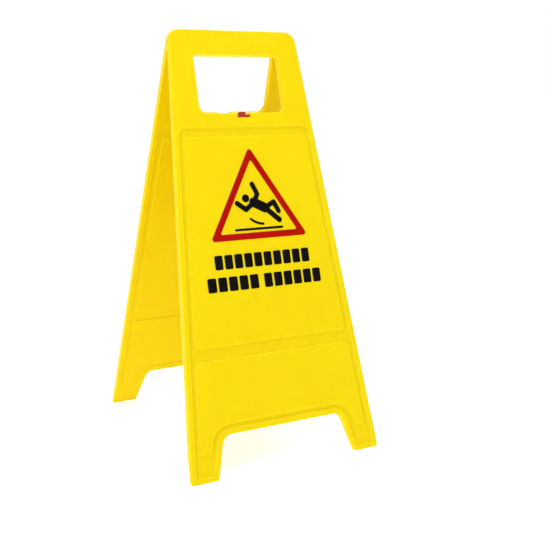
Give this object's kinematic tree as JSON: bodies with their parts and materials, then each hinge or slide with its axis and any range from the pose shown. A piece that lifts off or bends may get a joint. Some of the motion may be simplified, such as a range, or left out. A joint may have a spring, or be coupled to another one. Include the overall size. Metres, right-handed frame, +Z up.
{
  "type": "wet floor sign",
  "caption": "Folding A-frame floor sign of hinged moulded plastic leaves, with a handle opening, legs, a small lock catch and a printed slip hazard triangle.",
  "frame": {"origin": "on the floor, midway between the leaves, straight below the fold axis", "axes": "+Z up, +X across the sign, -Y towards the front leaf that carries the catch"},
  "size_m": [0.3042, 0.369, 0.6155],
  "materials": {
    "yellow_plastic": "satin moulded polypropylene",
    "red_plastic": "moulded gloss",
    "pin_steel": "zinc plated",
    "red_ink": "screen print",
    "black_ink": "screen print"
  },
  "bodies": {
    "front_leaf": {"front_panel": "yellow_plastic", "hinge_pin_left": "pin_steel", "hinge_pin_right": "pin_steel", "catch_pin": "pin_steel", "front_triangle": "red_ink", "front_figure": "black_ink", "front_slip_marks": "black_ink", "front_caption": "black_ink"},
    "rear_leaf": {"rear_panel": "yellow_plastic", "keeper_pin": "pin_steel", "rear_triangle": "red_ink", "rear_figure": "black_ink", "rear_slip_marks": "black_ink", "rear_caption": "black_ink"},
    "catch": {"lock_catch": "red_plastic"}
  },
  "joints": [
    {"name": "leaf_fold", "type": "hinge", "parent": "front_leaf", "child": "rear_leaf", "pos_m": [0, 0, 0.589], "axis": [-1, 0, 0], "range_deg": [0, 32.83]},
    {"name": "catch_turn", "type": "hinge", "parent": "front_leaf", "child": "catch", "pos_m": [0, -0.03242, 0.4917], "axis": [-1, 0, 0], "range_deg": [0, 16]}
  ]
}
